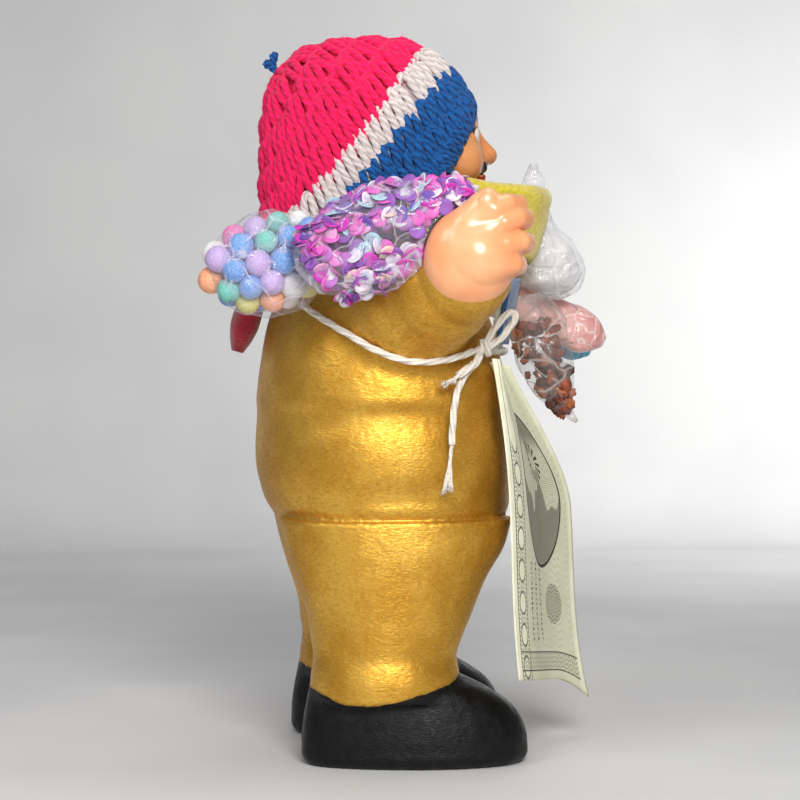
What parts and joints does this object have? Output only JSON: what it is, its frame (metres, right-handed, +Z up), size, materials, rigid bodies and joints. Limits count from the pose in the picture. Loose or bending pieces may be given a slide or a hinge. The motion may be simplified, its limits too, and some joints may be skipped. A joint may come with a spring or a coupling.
{
  "type": "figurine",
  "caption": "Standing painted lucky figurine in a crocheted hat, with small film bags, felt, string and a play note tied on.",
  "frame": {"origin": "middle of the foot of the box round everything but the string, on the surface that it stands on", "axes": "+Z up, -Y the way the figure faces, -X its right-hand side"},
  "size_m": [0.1618, 0.139, 0.2291],
  "materials": {
    "gold_paint": "satin metallic paint, flesh-coloured head and hands, near-black shoes",
    "pink_yarn": "crocheted wool",
    "blue_yarn": "wool",
    "clear_film": "glossy film over foam balls",
    "confetti": "glossy film over paper discs",
    "cotton": "glossy film over white filling",
    "bark": "glossy film over bark chips",
    "pink_wrap": "glossy film",
    "blue_wrap": "glossy film",
    "red_cloth": "matte",
    "yellow_felt": "felt",
    "blue_felt": "felt",
    "note_paper": "matte print",
    "white_cotton": "twisted cotton"
  },
  "bodies": {
    "root": {"figure": "gold_paint", "crochet_hat": "pink_yarn", "yarn_tie": "blue_yarn", "foam_ball_bag": "clear_film", "confetti_bag": "confetti", "cotton_bag": "cotton", "bark_bag": "bark", "pink_packet": "pink_wrap", "blue_packet": "blue_wrap", "red_packet": "red_cloth", "felt_scarf": "yellow_felt", "felt_ribbon": "blue_felt", "banknote": "note_paper", "string_loop": "white_cotton", "string_knot": "white_cotton", "string_tail_short": "white_cotton", "string_tail_long": "white_cotton"}
  },
  "joints": []
}
